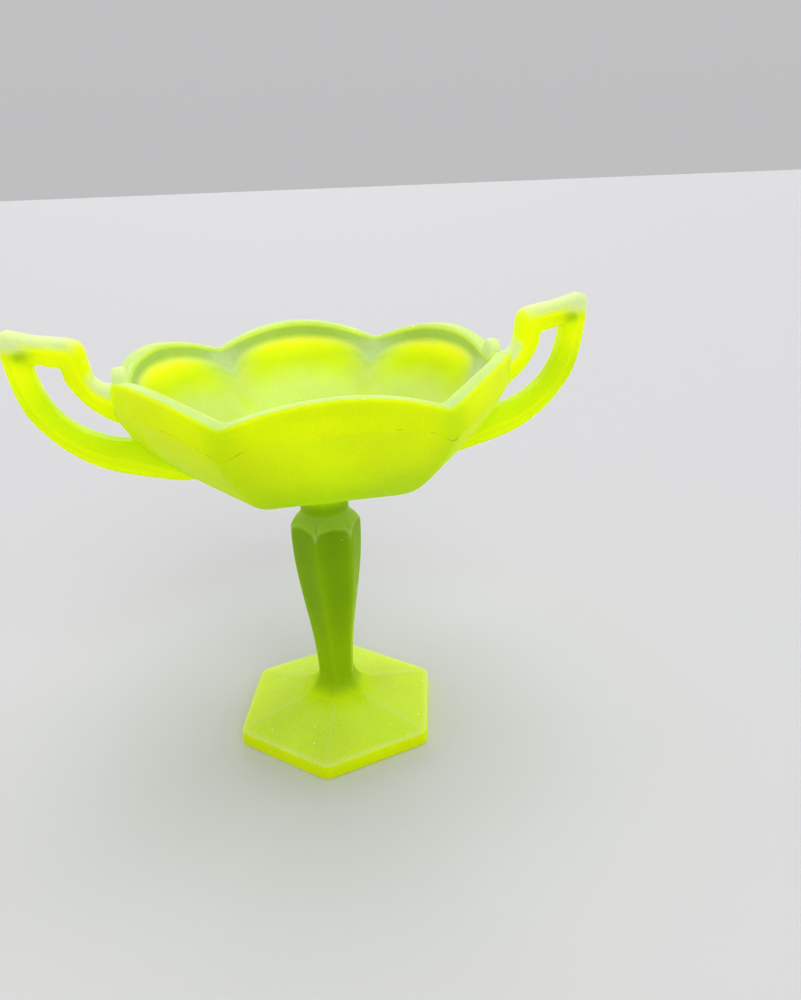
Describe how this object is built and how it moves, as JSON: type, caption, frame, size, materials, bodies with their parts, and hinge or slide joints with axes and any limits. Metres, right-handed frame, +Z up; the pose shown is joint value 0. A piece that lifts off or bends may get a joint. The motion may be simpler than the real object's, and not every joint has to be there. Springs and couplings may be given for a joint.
{
  "type": "two-handled footed glass comport",
  "caption": "Satin uranium glass footed dish: a scalloped six-lobed bowl with two open handles on a six-sided stem and foot.",
  "frame": {"origin": "centre of the foot, on the surface that it stands on", "axes": "+Z up, +X from the bowl's axis towards the right handle, +Y away from the front"},
  "size_m": [0.2004, 0.1364, 0.1652],
  "materials": {
    "bowl_glass": "acid-etched satin, translucent yellow-green uranium glass",
    "handle_glass": "acid-etched satin, translucent yellow-green uranium glass",
    "stem_glass": "acid-etched satin, translucent yellow-green uranium glass, deeper where it is thick",
    "foot_glass": "acid-etched satin, translucent yellow-green uranium glass"
  },
  "bodies": {
    "root": {"bowl": "bowl_glass", "handle_left": "handle_glass", "handle_right": "handle_glass", "neck": "stem_glass", "stem": "stem_glass", "foot": "foot_glass"}
  },
  "joints": []
}
